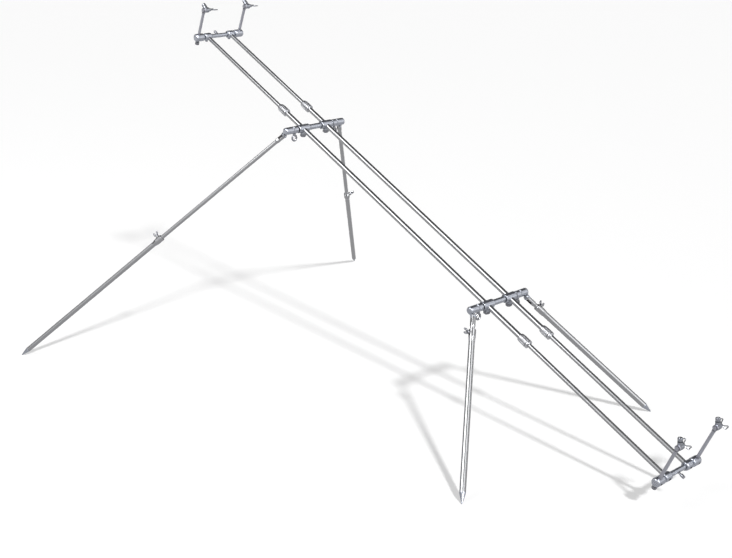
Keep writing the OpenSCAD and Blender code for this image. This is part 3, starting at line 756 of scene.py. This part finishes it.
# The room as steel mirrors it: grey, with a dark side and white boxes. Each is given by its direction and the
# angles in degrees up to which it is full and at which it ends, and a box also by its brightness
ROOM_LIGHT = grey(0.2)
ROOM_GREY = (0.17, 0.17, 0.175, 1)
DARK_GREY = (0.08, 0.08, 0.082, 1)
DARK_SIDE = ((0.52, 0.4, 0.75), 18, 44)
WHITE_BOXES = (
    ((-0.64, 0.18, 0.74), 10, 30, 1.02),
    ((-0.89, -0.45, 0.03), 10, 32, 0.6),
    ((0.14, -0.96, 0.25), 8, 22, 1.8),
    ((0.64, -0.72, 0.22), 6, 17, 1.15),
    ((0.28, -0.53, 0.8), 6, 20, 1.7),
    ((0.7, -0.42, 0.57), 5, 17, 0.8),
    ((-0.55, 0.62, 0.56), 4, 18, 0.8),
    ((-0.93, 0.13, 0.34), 6, 18, 0.95),
)
BOX_BLUE = 1.015


class POD_OT_stage(bpy.types.Operator):
    """Makes the pale floor, the soft lamps, the room and the camera at the photograph's angle"""

    bl_idname = "rod_pod.stage"
    bl_label = "Set the stage"

    def execute(self, context):
        scene = context.scene
        scene.view_settings.view_transform = "Standard"
        self.floor()
        self.lamps()
        self.room(scene)
        self.camera(scene)
        return {"FINISHED"}

    def floor(self):
        """A white plane: the camera sees it almost evenly white, steel sees it as an emission with painted
        shade that darkens towards the pod.
        """
        half = FLOOR_HALF
        mesh = bpy.data.meshes.new("floor")
        corners = [(-half, -half, 0), (half, -half, 0), (half, half, 0), (-half, half, 0)]
        mesh.from_pydata(corners, [], [(0, 1, 2, 3)])
        floor = scene_object("floor", mesh)
        material = bpy.data.materials.new("pale_floor")
        shader = Shader(material)
        lit = shader.node("ShaderNodeBsdfDiffuse", sockets={"Color": grey(FLOOR_TONE)})
        lift = shader.node("ShaderNodeEmission", sockets={"Color": grey(1), "Strength": 1.0})
        seen = shader.node("ShaderNodeMixShader",
                           sockets={0: shader.ray("Is Camera Ray") * FLOOR_LIFT, 1: lit, 2: lift})
        # Painted shade: steel mirrors the floor as an emission that darkens from the far colour to the near
        # one towards the pod
        coords = shader.node("ShaderNodeTexCoord", output="Object")
        away = shader.node("ShaderNodeVectorMath", {"operation": "LENGTH"}, {0: coords}, output="Value")
        tone = shader.mix_colour(shader.ramp(away, NEAR_END, FAR_START), NEAR_FLOOR_PAINTED_SHADE, FAR_FLOOR)
        mirrored_painted_shade = shader.node("ShaderNodeEmission", sockets={"Color": tone, "Strength": 1.0})
        shader.surface(shader.node("ShaderNodeMixShader",
                                   sockets={0: shader.ray("Is Glossy Ray"), 1: seen, 2: mirrored_painted_shade}))
        mesh.materials.append(material)

    def lamps(self):
        """A soft box above the left side, and a key lamp high behind the camera that throws the shadows."""
        light = bpy.data.lights.new("left_box", "AREA")
        light.shape = "RECTANGLE"
        light.size, light.size_y = BOX_SIZE
        light.energy = BOX_POWER
        box = scene_object("left_box", light)
        box.location = BOX_PLACE
        box.rotation_euler = self.facing(Vector(BOX_AIM) - Vector(BOX_PLACE))
        sun = bpy.data.lights.new("key", "SUN")
        sun.energy = KEY_STRENGTH
        sun.angle = KEY_SPREAD
        key = scene_object("key", sun)
        key.rotation_euler = self.facing(Vector(KEY_HEADING))

    def facing(self, heading):
        """The turn of a lamp that shines along a heading."""
        return heading.to_track_quat("-Z", "Y").to_euler()

    def room(self, scene):
        """A room that is white to the camera; steel sees it grey, with a dark side and soft white boxes."""
        world = bpy.data.worlds.new("studio")
        scene.world = world
        shader = Shader(world)
        heading = shader.node("ShaderNodeTexCoord", output="Generated")

        def patch(aim, inner, outer):
            facing = shader.node("ShaderNodeVectorMath", {"operation": "DOT_PRODUCT"},
                                 {0: heading, 1: Vector(aim).normalized()}, output="Value")
            return shader.ramp(facing, math.cos(math.radians(outer)), math.cos(math.radians(inner)))

        tone = shader.mix_colour(patch(*DARK_SIDE), ROOM_GREY, DARK_GREY)
        for aim, inner, outer, white in WHITE_BOXES:
            tone = shader.mix_colour(patch(aim, inner, outer), tone, (white, white, BOX_BLUE * white, 1))
        seen = shader.mix_colour(shader.ray("Is Glossy Ray"), ROOM_LIGHT, tone)
        plain = shader.ray("Is Camera Ray") + shader.ray("Is Transmission Ray")
        seen = shader.mix_colour(plain, seen, grey(1))
        back = shader.node("ShaderNodeBackground", sockets={"Color": seen, "Strength": 1.0})
        shader.node("ShaderNodeOutputWorld", sockets={"Surface": back})

    def camera(self, scene):
        """The camera at the photograph's place, angle and field of view."""
        view = settings().camera
        camera = bpy.data.cameras.new("photo_camera")
        camera.sensor_fit = "HORIZONTAL"
        camera.sensor_width = 36
        camera.lens = view.lens
        camera.clip_end = 100
        eye = scene_object("photo_camera", camera)
        eye.location = view.place
        eye.rotation_euler = (math.radians(90) - view.elevation, 0, view.azimuth)
        scene.camera = eye


OPERATORS = (POD_OT_tubes, POD_OT_turned, POD_OT_arms, POD_OT_screws, POD_OT_bar_screws, POD_OT_wing_screws,
             POD_OT_socket_threads, POD_OT_stage)


class POD_PT_panel(bpy.types.Panel):
    """Lists the rod pod's operators and sizes"""

    bl_label = "Rod pod"
    bl_idname = "POD_PT_panel"
    bl_space_type = "VIEW_3D"
    bl_region_type = "UI"
    bl_category = "Rod pod"

    def draw(self, context):
        for operator in OPERATORS:
            self.layout.operator(operator.bl_idname)
        for group in (settings().finish, settings().screws, settings().camera):
            for name in group.bl_rna.properties.keys():
                if name not in ("rna_type", "name"):
                    self.layout.prop(group, name)


CLASSES = (PodFinish, PodScrews, PodCamera, PodSettings, *OPERATORS, POD_PT_panel)


def register():
    """Makes the classes known to Blender and gives the scene its values."""
    for cls in CLASSES:
        bpy.utils.register_class(cls)
    bpy.types.Scene.rod_pod = bpy.props.PointerProperty(type=PodSettings)


def unregister():
    """Takes the values and the classes out again."""
    del bpy.types.Scene.rod_pod
    for cls in reversed(CLASSES):
        bpy.utils.unregister_class(cls)


def main():
    """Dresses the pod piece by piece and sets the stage."""
    register()
    for operator in OPERATORS:
        group, name = operator.bl_idname.split(".")
        getattr(getattr(bpy.ops, group), name)()


if __name__ == "__main__":
    main()
